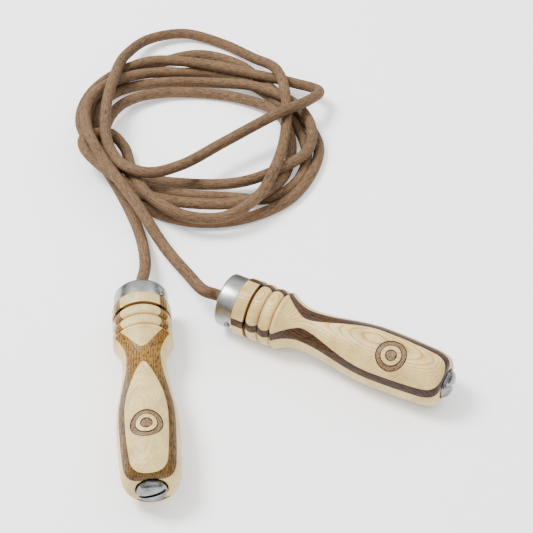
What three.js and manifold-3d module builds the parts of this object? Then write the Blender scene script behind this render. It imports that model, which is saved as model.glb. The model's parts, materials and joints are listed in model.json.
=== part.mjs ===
// A leather jump rope with two turned handles of laminated wood, as it lies on a table.
// Each handle spins on a ball bearing behind its metal collar and holds a removable steel weight.
// Millimetres, +Z up, +X to the right, +Y away from the viewer. The table is the plane z = 0.
import * as THREE from "three";
import { mergeVertices } from "three/addons/utils/BufferGeometryUtils.js";
import Module from "manifold-3d";

const wasm = await Module();
wasm.setup();

// ---------------------------------------------------------------- driving dimensions

const GAP = 0.3; // between pieces that touch on the real object
const RUNNING_GAP = 0.8; // round a piece that turns inside another
const TURNED_SIDES = 20; // facets round a wooden turning
const METAL_SIDES = 16; // facets round a metal turning
const SMALL_SIDES = 8;

const rope = { radius: 3.5, sides: 8, steps: 80, straight: 7 };
const END_SPANS = 2; // route spans that lie straight on a handle's axis

const collar = { radius: 15.45, length: 11, wall: 1.2, front: 1.6, chamfer: 0.9 };
const pin = { radius: 0.8, headRadius: 1.7, headHeight: 0.9, depth: 4.2, setBack: 2.6 };

const wood = {
  length: 135,
  landRadius: 16.6,
  landLength: 7.6,
  slotRadius: 13.4,
  slotWidth: 0.8,
  beadRadius: 16.7,
  beadFloor: 15.2,
  beadPitch: 7.6,
  beads: 2,
  shoulderRise: 1.7,
  shoulderLength: 3.2,
  shoulderDrop: 0.7,
  neckRadius: 12,
  neckPlace: 52,
  bellyRadius: 16.75,
  bellyPlace: 96,
  heelRadius: 15.7,
  heelPlace: 126,
  endRadius: 9.9,
};
const layers = {
  coreHalf: 7.6, // from the axis to the glue line beside the core
  waist: 0.35, // what the neck leaves of the cap that stays whole
  split: 0.15, // how far under the other cap's glue line the neck is cut
};

const sleeve = { wall: 0.9, nose: 1.2, flange: 0.8, flangeRise: 1.5 };
const bearing = { width: 5, innerRace: 0.9, outerRace: 1, ballRadius: 1, balls: 8, cageWidth: 1.4 };
const thrustWasher = { rise: 2.6, thickness: 1 };
const stopRing = { wall: 1.8, length: 7 };
const ropeTail = 0.8; // rope left past the stop ring

const plug = { shank: 6.3, length: 14, headRadius: 7.85, headRim: 2.6, dome: 2.9, pitch: 1.75 };
const slot = { width: 2, depth: 2.4 };
const insert = { wall: 1.3, length: 16 };
const plugWasher = { thickness: 1, rise: 0.45 };
const recess = 2.4; // depth of the plug washer's seat under the wood's end
const weight = { radius: 5.7, length: 85 };
const pad = { radius: 5.6, length: 3.9 };

// ---------------------------------------------------------------- places along a handle
// s runs from the collar's front face towards the plug.

const tenonRadius = collar.radius - collar.wall - GAP;
const tenonFront = collar.front + GAP;
const landStart = collar.length + GAP;
const slotStart = landStart + wood.landLength;
const beadStart = slotStart + wood.slotWidth;
const shoulderStart = beadStart + wood.beads * wood.beadPitch;

const sleeveInner = rope.radius + GAP;
const sleeveOuter = sleeveInner + sleeve.wall;
const innerRaceBore = sleeveOuter + GAP;
const innerRaceway = innerRaceBore + bearing.innerRace;
const ballCircle = innerRaceway + GAP + bearing.ballRadius;
const outerRaceway = ballCircle + bearing.ballRadius + GAP;
const bearingRadius = outerRaceway + bearing.outerRace;
const collarHole = sleeveOuter + RUNNING_GAP;

const flangeStart = collar.front + GAP;
const bearingStart = flangeStart + sleeve.flange + GAP;
const bearingEnd = bearingStart + bearing.width;
const washerStart = bearingEnd + 2 * GAP;
const stopStart = washerStart + thrustWasher.thickness + GAP;
const ropeEnd = stopStart + stopRing.length + ropeTail;
const washerRadius = sleeveInner + thrustWasher.rise;
const chamberRadius = washerRadius + RUNNING_GAP;
const chamberEnd = ropeEnd + 2 * RUNNING_GAP;

const recessFloor = wood.length - recess;
const insertInner = plug.shank + GAP;
const insertOuter = insertInner + insert.wall;
const insertEnd = recessFloor - GAP;
const insertStart = insertEnd - insert.length;
const plugWasherStart = recessFloor;
const headStart = plugWasherStart + plugWasher.thickness + GAP;
const plugStart = headStart - plug.length;
const plugWasherRadius = plug.headRadius + plugWasher.rise;
const padEnd = plugStart - GAP;
const weightEnd = padEnd - pad.length - GAP;
const weightStart = weightEnd - weight.length;
const boreRadius = weight.radius + GAP;

// ---------------------------------------------------------------- materials

function finish(color, roughness, metalness) {
  return new THREE.MeshStandardMaterial({ color, roughness, metalness });
}
const lightWood = finish(0xe0cfa6, 0.5, 0);
const darkWood = finish(0x7a552c, 0.5, 0);
const leather = finish(0x8f7256, 0.8, 0);
const nickel = finish(0xb9bbba, 0.3, 1);
const steel = finish(0x9a9c9c, 0.35, 1);
const brass = finish(0xb08d45, 0.35, 1);
const rubber = finish(0x202020, 0.9, 0);
const fibre = finish(0x2b2622, 0.8, 0);

// ---------------------------------------------------------------- shapes

// A ring or a solid turned about the handle's axis from [radius, s] corners.
function turned(corners, sides = METAL_SIDES) {
  const profile = corners.map(([radius, s]) => new THREE.Vector2(radius, s));
  const geometry = new THREE.LatheGeometry(profile, sides);
  geometry.rotateX(Math.PI / 2);
  return geometry;
}

function ring(inner, outer, start, end, sides = METAL_SIDES) {
  return turned([[inner, start], [outer, start], [outer, end], [inner, end], [inner, start]], sides);
}

function rod(radius, start, end, sides = METAL_SIDES) {
  return turned([[0, start], [radius, start], [radius, end], [0, end]], sides);
}

function solid(geometry) {
  const bare = new THREE.BufferGeometry();
  bare.setAttribute("position", geometry.getAttribute("position"));
  if (geometry.index) bare.setIndex(geometry.index);
  const merged = mergeVertices(bare, 1e-4);
  return new wasm.Manifold(
    new wasm.Mesh({
      numProp: 3,
      vertProperties: merged.attributes.position.array,
      triVerts: new Uint32Array(merged.index.array),
    }),
  );
}

function surface(manifold) {
  const mesh = manifold.getMesh();
  const geometry = new THREE.BufferGeometry();
  geometry.setAttribute("position", new THREE.BufferAttribute(mesh.vertProperties, 3));
  geometry.setIndex(new THREE.BufferAttribute(mesh.triVerts, 1));
  geometry.computeVertexNormals();
  return geometry;
}

// The corners of a quadratic curve, without its first point.
function bend(from, through, to, steps) {
  const [a, b, c] = [from, through, to].map(([x, y]) => new THREE.Vector2(x, y));
  const points = new THREE.QuadraticBezierCurve(a, b, c).getPoints(steps);
  return points.slice(1).map((point) => [point.x, point.y]);
}

// ---------------------------------------------------------------- the wooden turning

function turningProfile() {
  const corners = [
    [0, tenonFront],
    [tenonRadius, tenonFront],
    [tenonRadius, landStart],
    [wood.landRadius - 0.4, landStart],
    [wood.landRadius, landStart + 0.6],
    [wood.landRadius, slotStart - 0.8],
    [wood.landRadius - 0.6, slotStart],
    [wood.slotRadius, slotStart],
    [wood.slotRadius, beadStart],
    [wood.beadFloor, beadStart],
  ];
  // Beads: a quadratic curve peaks half way to its control point.
  const beadPeak = 2 * wood.beadRadius - wood.beadFloor;
  for (let i = 0; i < wood.beads; i++) {
    const start = beadStart + i * wood.beadPitch;
    const end = start + wood.beadPitch;
    corners.push(
      ...bend([wood.beadFloor, start], [beadPeak, (start + end) / 2], [wood.beadFloor, end], 4),
    );
  }
  // The last bead runs out into the neck in one hollow sweep.
  const shoulderEnd = shoulderStart + wood.shoulderLength;
  const crest = shoulderStart + wood.shoulderRise;
  const fall = wood.beadRadius - wood.shoulderDrop;
  const shoulderPeak = 2 * wood.beadRadius - (wood.beadFloor + fall) / 2;
  corners.push(
    ...bend([wood.beadFloor, shoulderStart], [shoulderPeak, crest], [fall, shoulderEnd], 4),
    ...bend(
      [fall, shoulderEnd],
      [wood.neckRadius, (shoulderEnd + wood.neckPlace) / 2],
      [wood.neckRadius, wood.neckPlace],
      5,
    ),
  );
  // Neck to belly is half a cosine wave, belly to heel a shallow curve.
  const steps = 6;
  for (let i = 1; i <= steps; i++) {
    const rise = (1 - Math.cos((Math.PI * i) / steps)) / 2;
    corners.push([
      wood.neckRadius + (wood.bellyRadius - wood.neckRadius) * rise,
      wood.neckPlace + ((wood.bellyPlace - wood.neckPlace) * i) / steps,
    ]);
  }
  corners.push(
    ...bend(
      [wood.bellyRadius, wood.bellyPlace],
      [wood.bellyRadius, (wood.bellyPlace + wood.heelPlace) / 2],
      [wood.heelRadius, wood.heelPlace],
      3,
    ),
    ...bend(
      [wood.heelRadius, wood.heelPlace],
      [wood.heelRadius - 1, wood.length - 0.5],
      [wood.endRadius, wood.length],
      4,
    ),
    [0, wood.length],
  );
  return corners;
}

// Everything that is bored out of the wood from its two ends, as [radius, start, end] steps.
function bores() {
  const steps = [
    [bearingRadius + GAP, tenonFront - 1, bearingEnd + GAP],
    [chamberRadius, bearingEnd, chamberEnd],
    [boreRadius, weightStart - GAP, wood.length],
    [insertOuter + GAP, insertStart - GAP, insertEnd + GAP],
    [plugWasherRadius + GAP, recessFloor - GAP, wood.length + 1],
  ];
  return steps
    .map(([radius, start, end]) => solid(rod(radius, start, end)))
    .reduce((all, step) => all.add(step));
}

function pinPlace(geometry, turn) {
  geometry.rotateY(Math.PI / 2);
  geometry.translate(0, 0, collar.length - pin.setBack);
  geometry.rotateZ(THREE.MathUtils.degToRad(turn));
  return geometry;
}

function pinHole(turn) {
  const inner = collar.radius - pin.depth - GAP;
  return solid(pinPlace(rod(pin.radius + GAP, inner, collar.radius + 3, SMALL_SIDES), turn));
}

// A slab of the blank between two distances from the axis and two places along it.
function slab(from, to, start, end) {
  const width = 4 * wood.bellyRadius;
  const geometry = new THREE.BoxGeometry(to - from, width, end - start);
  geometry.translate((from + to) / 2, 0, (start + end) / 2);
  return solid(geometry);
}

// Five boards are glued into a blank, turned and bored; board a's cap keeps a waist at the neck and
// board b's cap is cut in two there.
function woodPieces(pinTurns) {
  let blank = solid(turned(turningProfile(), TURNED_SIDES)).subtract(bores());
  for (const turn of pinTurns) blank = blank.subtract(pinHole(turn));
  const capA = wood.neckRadius - layers.waist - GAP / 2;
  const capB = wood.neckRadius + layers.split + GAP / 2;
  const core = layers.coreHalf;
  const half = GAP / 2;
  const far = 2 * wood.bellyRadius;
  const [start, middle, end] = [0, wood.neckPlace, wood.length + 5];
  const board = (from, to, a = start, b = end) => surface(blank.intersect(slab(from, to, a, b)));
  return {
    core: board(-core + half, core - half),
    dark_a: board(core + half, capA - half),
    dark_b: board(-capB + half, -core - half),
    cap_a: board(capA + half, far),
    cap_b_front: board(-far, -capB - half, start, middle - half),
    cap_b_grip: board(-far, -capB - half, middle + half, end),
  };
}

// ---------------------------------------------------------------- metal and small pieces

function collarCup(pinTurns) {
  const inner = collar.radius - collar.wall;
  let cup = solid(
    turned(
      [
        [collarHole, 0],
        [collar.radius - 2 * collar.chamfer, 0],
        [collar.radius - 0.5 * collar.chamfer, 0.4 * collar.chamfer],
        [collar.radius, 1.4 * collar.chamfer],
        [collar.radius, collar.length],
        [inner, collar.length],
        [inner, collar.front],
        [collarHole, collar.front],
        [collarHole, 0],
      ],
      TURNED_SIDES,
    ),
  );
  for (const turn of pinTurns) cup = cup.subtract(pinHole(turn));
  return surface(cup);
}

function collarPin(turn) {
  const seat = collar.radius + GAP;
  const top = seat + pin.headHeight;
  const corners = [
    [0, collar.radius - pin.depth],
    [pin.radius, collar.radius - pin.depth],
    [pin.radius, seat],
    [pin.headRadius, seat],
    [0.85 * pin.headRadius, seat + 0.5 * pin.headHeight],
    [0.5 * pin.headRadius, seat + 0.87 * pin.headHeight],
    [0, top],
  ];
  return pinPlace(turned(corners, SMALL_SIDES), turn);
}

function flangedSleeve() {
  const flangeRadius = sleeveOuter + sleeve.flangeRise;
  return turned([
    [sleeveInner, -sleeve.nose],
    [sleeveOuter, -sleeve.nose],
    [sleeveOuter, flangeStart],
    [flangeRadius, flangeStart],
    [flangeRadius, flangeStart + sleeve.flange],
    [sleeveOuter, flangeStart + sleeve.flange],
    [sleeveOuter, bearingEnd + GAP],
    [sleeveInner, bearingEnd + GAP],
    [sleeveInner, -sleeve.nose],
  ]);
}

// The balls and the cage that spaces them turn as one piece.
function ballCage() {
  const middle = (bearingStart + bearingEnd) / 2;
  const half = bearing.cageWidth / 2;
  const thin = 0.4 * bearing.ballRadius;
  let cage = solid(ring(ballCircle - thin, ballCircle + thin, middle - half, middle + half));
  for (let i = 0; i < bearing.balls; i++) {
    const ball = new THREE.SphereGeometry(bearing.ballRadius, 6, 3);
    ball.translate(ballCircle, 0, middle);
    ball.rotateZ((2 * Math.PI * i) / bearing.balls);
    cage = cage.add(solid(ball));
  }
  return surface(cage);
}

function endPlug() {
  const rim = headStart + plug.headRim;
  const body = turned([
    [0, plugStart],
    [plug.shank - 0.6, plugStart],
    [plug.shank, plugStart + 0.6],
    [plug.shank, headStart],
    [plug.headRadius, headStart],
    [plug.headRadius, rim],
    ...bend(
      [plug.headRadius, rim],
      [0.82 * plug.headRadius, rim + plug.dome],
      [0, rim + plug.dome],
      5,
    ),
  ]);
  const cut = new THREE.BoxGeometry(4 * plug.headRadius, slot.width, 2 * slot.depth);
  cut.translate(0, 0, rim + plug.dome);
  return surface(solid(body).subtract(solid(cut)));
}

// ---------------------------------------------------------------- one handle

// roll turns the whole board cap towards the viewer's side from straight up, in degrees.
function makeHandle(side, { x, y, yaw, roll, pinTurns }) {
  const placed = new THREE.Group();
  placed.position.set(x, y, wood.bellyRadius);
  const yawTurn = new THREE.Quaternion().setFromAxisAngle(
    new THREE.Vector3(0, 0, 1),
    THREE.MathUtils.degToRad(yaw),
  );
  const layDown = new THREE.Quaternion().setFromAxisAngle(new THREE.Vector3(0, 1, 0), Math.PI / 2);
  const rollTurn = new THREE.Quaternion().setFromAxisAngle(
    new THREE.Vector3(0, 0, 1),
    THREE.MathUtils.degToRad(roll + 180),
  );
  placed.quaternion.copy(yawTurn).multiply(layDown).multiply(rollTurn);

  const add = (name, geometry, material) => {
    const mesh = new THREE.Mesh(geometry, material);
    mesh.name = `${side}_${name}`;
    placed.add(mesh);
  };

  const boards = woodPieces(pinTurns);
  for (const [name, geometry] of Object.entries(boards))
    add(name, geometry, name.startsWith("dark") ? darkWood : lightWood);

  add("collar", collarCup(pinTurns), nickel);
  pinTurns.forEach((turn, i) => add(`collar_pin_${i + 1}`, collarPin(turn), steel));

  add("rope_sleeve", flangedSleeve(), brass);
  add("bearing_inner_race", ring(innerRaceBore, innerRaceway, bearingStart, bearingEnd), steel);
  add("bearing_outer_race", ring(outerRaceway, bearingRadius, bearingStart, bearingEnd), steel);
  add("bearing_ball_cage", ballCage(), steel);
  const washerEnd = washerStart + thrustWasher.thickness;
  add("thrust_washer", ring(sleeveInner, washerRadius, washerStart, washerEnd), steel);
  const stopRadius = sleeveInner + stopRing.wall;
  add("stop_ring", ring(sleeveInner, stopRadius, stopStart, stopStart + stopRing.length), steel);

  add("weight_rod", rod(weight.radius, weightStart, weightEnd), steel);
  add("weight_pad", rod(pad.radius, weightEnd + GAP, padEnd), rubber);
  add("thread_insert", ring(insertInner, insertOuter, insertStart, insertEnd), brass);
  const ringTop = plugWasherStart + plugWasher.thickness;
  add("plug_washer", ring(insertInner, plugWasherRadius, plugWasherStart, ringTop), fibre);
  add("end_plug", endPlug(), steel);
  return placed;
}

// ---------------------------------------------------------------- the rope

const leftHandle = { x: -79.36, y: 63.43, yaw: -84.2, roll: 182, pinTurns: [126, 306] };
const rightHandle = { x: -30.36, y: 62.43, yaw: -27.9, roll: 27.7, pinTurns: [74, 254] };

// The rope's route on the table: [x, y, height of its underside].
const route = [
  [-79, 96, 7], [-85, 130, 1], [-99, 167, 0], [-116, 202, 0], [-130, 236, 0], [-126, 263, 1],
  [-110, 283, 3], [-86, 292, 7], [-52, 289, 7], [-14, 278, 6], [12, 270, 5], [27, 257, 9],
  [20, 240, 15], [-2, 220, 19], [-35, 196, 16], [-61, 172, 18], [-80, 163, 20], [-97, 171, 20],
  [-108, 195, 19], [-111, 227, 19], [-108, 265, 17], [-103, 297, 9], [-89, 321, 4],
  [-65, 330, 2], [-40, 322, 0], [-17, 301, 3], [-1, 276, 12], [5, 245, 13], [4, 209, 11],
  [-2, 176, 14], [-13, 149, 13], [-33, 134, 10], [-57, 134, 11], [-78, 148, 13], [-91, 171, 11],
  [-103, 196, 1], [-118, 224, 0], [-120, 250, 0], [-107, 268, 0], [-81, 277, 0], [-46, 276, 1],
  [-14, 265, 6], [10, 247, 7], [21, 223, 7], [18, 198, 7], [0, 180, 8], [-24, 171, 5],
  [-57, 174, 1], [-90, 184, 0], [-99, 206, 4], [-108, 212, 10], [-123, 202, 15],
  [-122, 191, 15], [-102, 169, 12], [-82, 157, 7], [-49, 149, 7], [-21, 151, 7], [-4, 165, 6],
  [5, 186, 1], [8, 216, 1], [0, 241, 3], [-22, 258, 1], [-51, 266, 0], [-82, 263, 2],
  [-103, 248, 5], [-112, 223, 6], [-109, 196, 6], [-97, 173, 0], [-78, 150, 0], [-51, 140, 0],
  [-22, 143, 0], [5, 159, 0], [20, 183, 0], [26, 211, 0], [15, 242, 0], [-7, 274, 0],
  [-29, 299, 0], [-55, 307, 1], [-81, 299, 0], [-106, 277, 2], [-122, 253, 7], [-124, 223, 7],
  [-116, 193, 7], [-100, 172, 7], [-72, 162, 5], [-33, 159, 3], [-4, 162, 0], [12, 178, 0],
  [18, 205, 0], [10, 236, 0], [-9, 266, 0], [-33, 284, 0], [-62, 287, 1], [-92, 279, 6],
  [-114, 261, 11], [-124, 235, 16], [-121, 205, 19], [-109, 177, 19], [-87, 144, 12],
  [-69, 113, 6], [-53, 82, 13], [-43, 65, 17],
];

// A point on a handle's axis, s from its collar's front face.
function onAxis({ x, y, yaw }, s) {
  const angle = THREE.MathUtils.degToRad(yaw);
  return new THREE.Vector3(x + s * Math.cos(angle), y + s * Math.sin(angle), wood.bellyRadius);
}

// A smooth curve through the route that never sinks into the table. Its two straight ends take one
// step from point to point, and the rest of the steps are shared out evenly between them.
class LaidRope extends THREE.CatmullRomCurve3 {
  constructor(points) {
    super(points, false, "centripetal");
  }
  getUtoTmapping(u) {
    const spans = this.points.length - 1;
    const step = u * rope.steps;
    const stride = (spans - 2 * END_SPANS) / (rope.steps - 2 * END_SPANS);
    const early = Math.min(step, END_SPANS);
    const late = Math.max(step - (rope.steps - END_SPANS), 0);
    return (early + (step - early - late) * stride + late) / spans;
  }
  getPoint(t, target = new THREE.Vector3()) {
    super.getPoint(t, target);
    target.z = Math.max(target.z, rope.radius);
    return target;
  }
}

function makeRope() {
  const points = [
    ...[ropeEnd, 0, -rope.straight].map((s) => onAxis(leftHandle, s)),
    ...route.map(([x, y, lift]) => new THREE.Vector3(x, y, lift + rope.radius)),
    ...[-rope.straight, 0, ropeEnd].map((s) => onAxis(rightHandle, s)),
  ];
  const section = new THREE.Shape();
  for (let i = 0; i < rope.sides; i++) {
    const angle = (2 * Math.PI * (i + 0.5)) / rope.sides;
    const corner = [rope.radius * Math.cos(angle), rope.radius * Math.sin(angle)];
    if (i === 0) section.moveTo(...corner);
    else section.lineTo(...corner);
  }
  section.closePath();
  const geometry = new THREE.ExtrudeGeometry(section, {
    steps: rope.steps,
    extrudePath: new LaidRope(points),
  });
  const mesh = new THREE.Mesh(geometry, leather);
  mesh.name = "rope";
  return mesh;
}

// ---------------------------------------------------------------- the whole object

const jumpRope = new THREE.Group();
jumpRope.add(makeHandle("left", leftHandle), makeHandle("right", rightHandle), makeRope());

export default jumpRope;
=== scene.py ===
"""A leather jump rope with two turned handles of laminated wood, lying loosely coiled on a pale floor.

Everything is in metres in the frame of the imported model: +X right, +Y away, +Z up, table at z = 0.
"""

from __future__ import annotations

import json
import logging
import math
from dataclasses import dataclass, replace
from enum import Enum
from typing import Sequence

import bmesh
import bpy
import numpy as np
from mathutils import Matrix, Vector


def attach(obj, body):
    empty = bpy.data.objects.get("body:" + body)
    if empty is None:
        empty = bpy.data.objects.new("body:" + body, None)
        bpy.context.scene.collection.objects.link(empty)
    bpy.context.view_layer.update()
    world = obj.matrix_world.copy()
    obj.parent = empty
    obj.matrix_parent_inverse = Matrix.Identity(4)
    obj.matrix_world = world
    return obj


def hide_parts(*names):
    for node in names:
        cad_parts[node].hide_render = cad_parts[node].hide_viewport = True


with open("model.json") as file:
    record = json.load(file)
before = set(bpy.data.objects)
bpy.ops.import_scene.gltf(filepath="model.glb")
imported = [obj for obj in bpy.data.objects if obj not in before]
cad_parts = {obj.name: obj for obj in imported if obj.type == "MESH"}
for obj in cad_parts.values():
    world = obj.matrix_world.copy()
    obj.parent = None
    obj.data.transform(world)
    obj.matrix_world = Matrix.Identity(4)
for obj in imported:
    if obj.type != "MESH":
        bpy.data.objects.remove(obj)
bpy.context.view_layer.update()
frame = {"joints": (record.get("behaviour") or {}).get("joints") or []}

log = logging.getLogger("jump_rope")

MM = 0.001
TURNED_SIDES = 128
METAL_SIDES = 96
SMALL_SIDES = 48
ROUND_STEPS = 4
WELD = 1e-7
CREASE = 30.0
UP = np.array([0.0, 0.0, 1.0])
BOX_FACES = [(0, 1, 3, 2), (4, 6, 7, 5), (0, 4, 5, 1), (2, 3, 7, 6), (0, 2, 6, 4), (1, 5, 7, 3)]

Profile = Sequence[tuple[float, float]]
Link = tuple[bpy.types.Node, str | int]


# ---- mesh helpers


def new_piece(name: str, vertices: np.ndarray, faces: list, body: str | None) -> bpy.types.Object:
    """Put a finished surface into the scene as one piece that rides on a body.

    Args:
        name: the piece's name.
        vertices: an (n, 3) array in metres.
        faces: vertex index tuples with outward winding.
        body: the moving body that carries the piece, or None for a cutting tool.

    Returns:
        The new object, at the origin, unturned.
    """
    mesh = bpy.data.meshes.new(name)
    mesh.from_pydata(vertices.tolist(), [], faces)
    mesh.update()
    mesh.validate()
    piece = bpy.data.objects.new(name, mesh)
    bpy.context.scene.collection.objects.link(piece)
    if body is not None:
        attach(piece, body)
    return piece


def grid_faces(rows: int, columns: int, wrap_rows: bool = False) -> list:
    """Quads of a grid whose columns close on themselves.

    Args:
        rows: stations along the surface.
        columns: points round it.
        wrap_rows: True where the last station joins the first, as on a ring.

    Returns:
        Index tuples, wound so that a path along +s with columns turning by the right hand faces out.
    """
    row = np.arange(rows if wrap_rows else rows - 1)[:, None]
    column = np.arange(columns)[None, :]
    after = (column + 1) % columns
    below = (row + 1) % rows
    corners = [row * columns + column, row * columns + after, below * columns + after]
    corners.append(below * columns + column)
    return np.stack(np.broadcast_arrays(*corners), -1).reshape(-1, 4).tolist()


def shade(piece: bpy.types.Object, crease: float = CREASE) -> None:
    """Shade a piece smooth, with sharp edges where its faces turn by more than crease degrees."""
    piece.data.shade_smooth()
    piece.data.set_sharp_from_angle(angle=math.radians(crease))


def dress(piece: bpy.types.Object, material: bpy.types.Material, slot: str, *nodes: str) -> None:
    """Give a piece its material, and let it stand for CAD nodes.

    Args:
        piece: the finished piece.
        material: its material.
        slot: the record's material slot; not used.
        nodes: the CAD nodes that it replaces.
    """
    piece.data.materials.clear()
    piece.data.materials.append(material)
    if nodes:
        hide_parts(*nodes)
    log.info("%s: %d faces", piece.name, len(piece.data.polygons))


def rounded(corners: Profile, radii: float | Sequence[float], loop: bool = True) -> Profile:
    """Round the corners of a turned profile.

    Each corner becomes a quadratic curve from a point that far before it to a point that far after
    it, with the corner itself as the control point.

    Args:
        corners: (radius, place) corners in millimetres.
        radii: how far each rounding reaches from its corner, one for all or one for each.
        loop: True where the last corner joins the first; otherwise the two ends stay sharp.

    Returns:
        The profile's points.
    """
    points = np.array(corners, float)
    reach = np.broadcast_to(radii, (len(points),))
    before, after = np.roll(points, 1, axis=0), np.roll(points, -1, axis=0)
    result: list = []
    for i, (low, corner, high) in enumerate(zip(before, points, after)):
        end = not loop and i in (0, len(points) - 1)
        if end or reach[i] == 0.0:
            result.append(tuple(corner))
            continue
        enter = corner + (low - corner) * reach[i] / np.linalg.norm(low - corner)
        leave = corner + (high - corner) * reach[i] / np.linalg.norm(high - corner)
        result.append(tuple(enter))
        result += quadratic(tuple(enter), tuple(corner), tuple(leave), ROUND_STEPS)
    return result


def quadratic(start: tuple, control: tuple, end: tuple, count: int) -> Profile:
    """Points of a quadratic curve, without its first point."""
    t = np.linspace(0.0, 1.0, count + 1)[1:, None]
    a, b, c = (np.array(p, float) for p in (start, control, end))
    return [tuple(p) for p in (1 - t) ** 2 * a + 2 * t * (1 - t) * b + t**2 * c]


def turns(count: int) -> np.ndarray:
    """Angles once round, in even steps."""
    return np.linspace(0.0, 2 * math.pi, count, endpoint=False)


def section(inner: float, outer: float, low: float, high: float) -> Profile:
    """The four corners of a plain ring's section."""
    return [(inner, low), (outer, low), (outer, high), (inner, high)]


def run_along(line: np.ndarray) -> np.ndarray:
    """The way from a line's first point to each of its points."""
    steps = np.linalg.norm(np.diff(line, axis=0), axis=1)
    return np.concatenate([[0.0], np.cumsum(steps)])


def close(piece: bpy.types.Object) -> None:
    """Merge doubled vertices of a closed piece and turn every face outwards.

    Args:
        piece: the piece whose mesh is changed.
    """
    work = bmesh.new()
    work.from_mesh(piece.data)
    bmesh.ops.remove_doubles(work, verts=work.verts, dist=WELD)
    bmesh.ops.recalc_face_normals(work, faces=work.faces)
    work.to_mesh(piece.data)
    work.free()


def tool_mesh(vertices: np.ndarray, faces: list) -> bpy.types.Object:
    """A closed mesh that only cuts other pieces and is removed afterwards."""
    tool = new_piece("tool", vertices, faces, None)
    close(tool)
    return tool


def cut(piece: bpy.types.Object, tool: bpy.types.Object, keep: str = "INTERSECT") -> None:
    """Keep what a piece shares with a tool, or what lies outside it, and drop the tool.

    Args:
        piece: the piece whose mesh is changed.
        tool: a closed mesh that is removed afterwards.
        keep: INTERSECT or DIFFERENCE.
    """
    modifier = piece.modifiers.new("cut", "BOOLEAN")
    modifier.operation = keep
    modifier.solver = "MANIFOLD"
    modifier.object = tool
    graph = bpy.context.evaluated_depsgraph_get()
    result = bpy.data.meshes.new_from_object(piece.evaluated_get(graph))
    piece.modifiers.clear()
    piece.data = result
    bpy.data.objects.remove(tool)


# ---- material helpers


def colour(hex_code: str) -> tuple[float, float, float, float]:
    """Turn an sRGB hex value into linear RGBA."""
    values = [int(hex_code[i : i + 2], 16) / 255 for i in (0, 2, 4)]
    linear = [v / 12.92 if v <= 0.04045 else ((v + 0.055) / 1.055) ** 2.4 for v in values]
    return (*linear, 1.0)


def feed(tree: bpy.types.NodeTree, node: bpy.types.Node, inputs: dict) -> None:
    """Give a node's inputs their values, or the link where a value is a (node, output) pair.

    Args:
        tree: the node tree.
        node: the node.
        inputs: input sockets with their values or links.
    """
    for key, value in inputs.items():
        if isinstance(value, tuple) and isinstance(value[0], bpy.types.Node):
            tree.links.new(value[0].outputs[value[1]], node.inputs[key])
        else:
            node.inputs[key].default_value = value


def add_node(
    tree: bpy.types.NodeTree,
    kind: str,
    inputs: dict | None = None,
    stops: Sequence[tuple[float, str]] = (),
    **settings: object,
) -> bpy.types.Node:
    """Add a node with its settings and its inputs.

    Args:
        tree: the node tree.
        kind: the node's type name without the ShaderNode prefix.
        inputs: input sockets, each with its value or with the (node, output) that feeds it.
        stops: a colour ramp's places, from 0 to 1, with their sRGB hex colours.
        settings: attributes of the node.

    Returns:
        The new node.
    """
    node = tree.nodes.new(f"ShaderNode{kind}")
    for key, value in settings.items():
        setattr(node, key, value)
    if stops:
        elements = node.color_ramp.elements
        while len(elements) < len(stops):
            elements.new(0.5)
        for element, (place, code) in zip(elements, stops):
            element.position = place
            element.color = colour(code)
    feed(tree, node, inputs or {})
    return node


def blank_material(name: str) -> tuple[bpy.types.Material, bpy.types.NodeTree, bpy.types.Node]:
    """A new material, its node tree and its Principled shader."""
    material = bpy.data.materials.new(name)
    material.use_nodes = True
    return material, material.node_tree, material.node_tree.nodes["Principled BSDF"]


@dataclass(frozen=True)
class Speckle:
    """A noise: its grain in millimetres, how many finer octaves it has and how strong they are."""

    size: float
    detail: float
    rough: float

    def at(self, place: Link) -> dict:
        """What its noise node takes in at the places that a link gives."""
        scale = 1.0 / (self.size * MM)
        return {"Scale": scale, "Detail": self.detail, "Roughness": self.rough, "Vector": place}


# ---- the viewpoint and the light


@dataclass(frozen=True)
class Viewpoint:
    """A long lens that looks down at the rope from the front."""

    target: tuple[float, float, float] = (-7.76 * MM, 105.03 * MM, 0.0)
    elevation: float = 45.0
    distance: float = 894.8 * MM
    lens: float = 101.31
    sensor: float = 36.0
    clip: tuple[float, float] = (0.05, 20.0)

    def build(self) -> None:
        """Place the camera and make it the scene's own."""
        camera = bpy.data.cameras.new("camera")
        camera.lens = self.lens
        camera.sensor_width = self.sensor
        camera.clip_start, camera.clip_end = self.clip
        holder = bpy.data.objects.new("camera", camera)
        pitch = math.radians(self.elevation)
        away = Vector((0.0, math.cos(pitch), -math.sin(pitch)))
        holder.location = Vector(self.target) - away * self.distance
        holder.rotation_euler = (math.pi / 2 - pitch, 0.0, 0.0)
        bpy.context.scene.collection.objects.link(holder)
        bpy.context.scene.camera = holder


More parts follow.
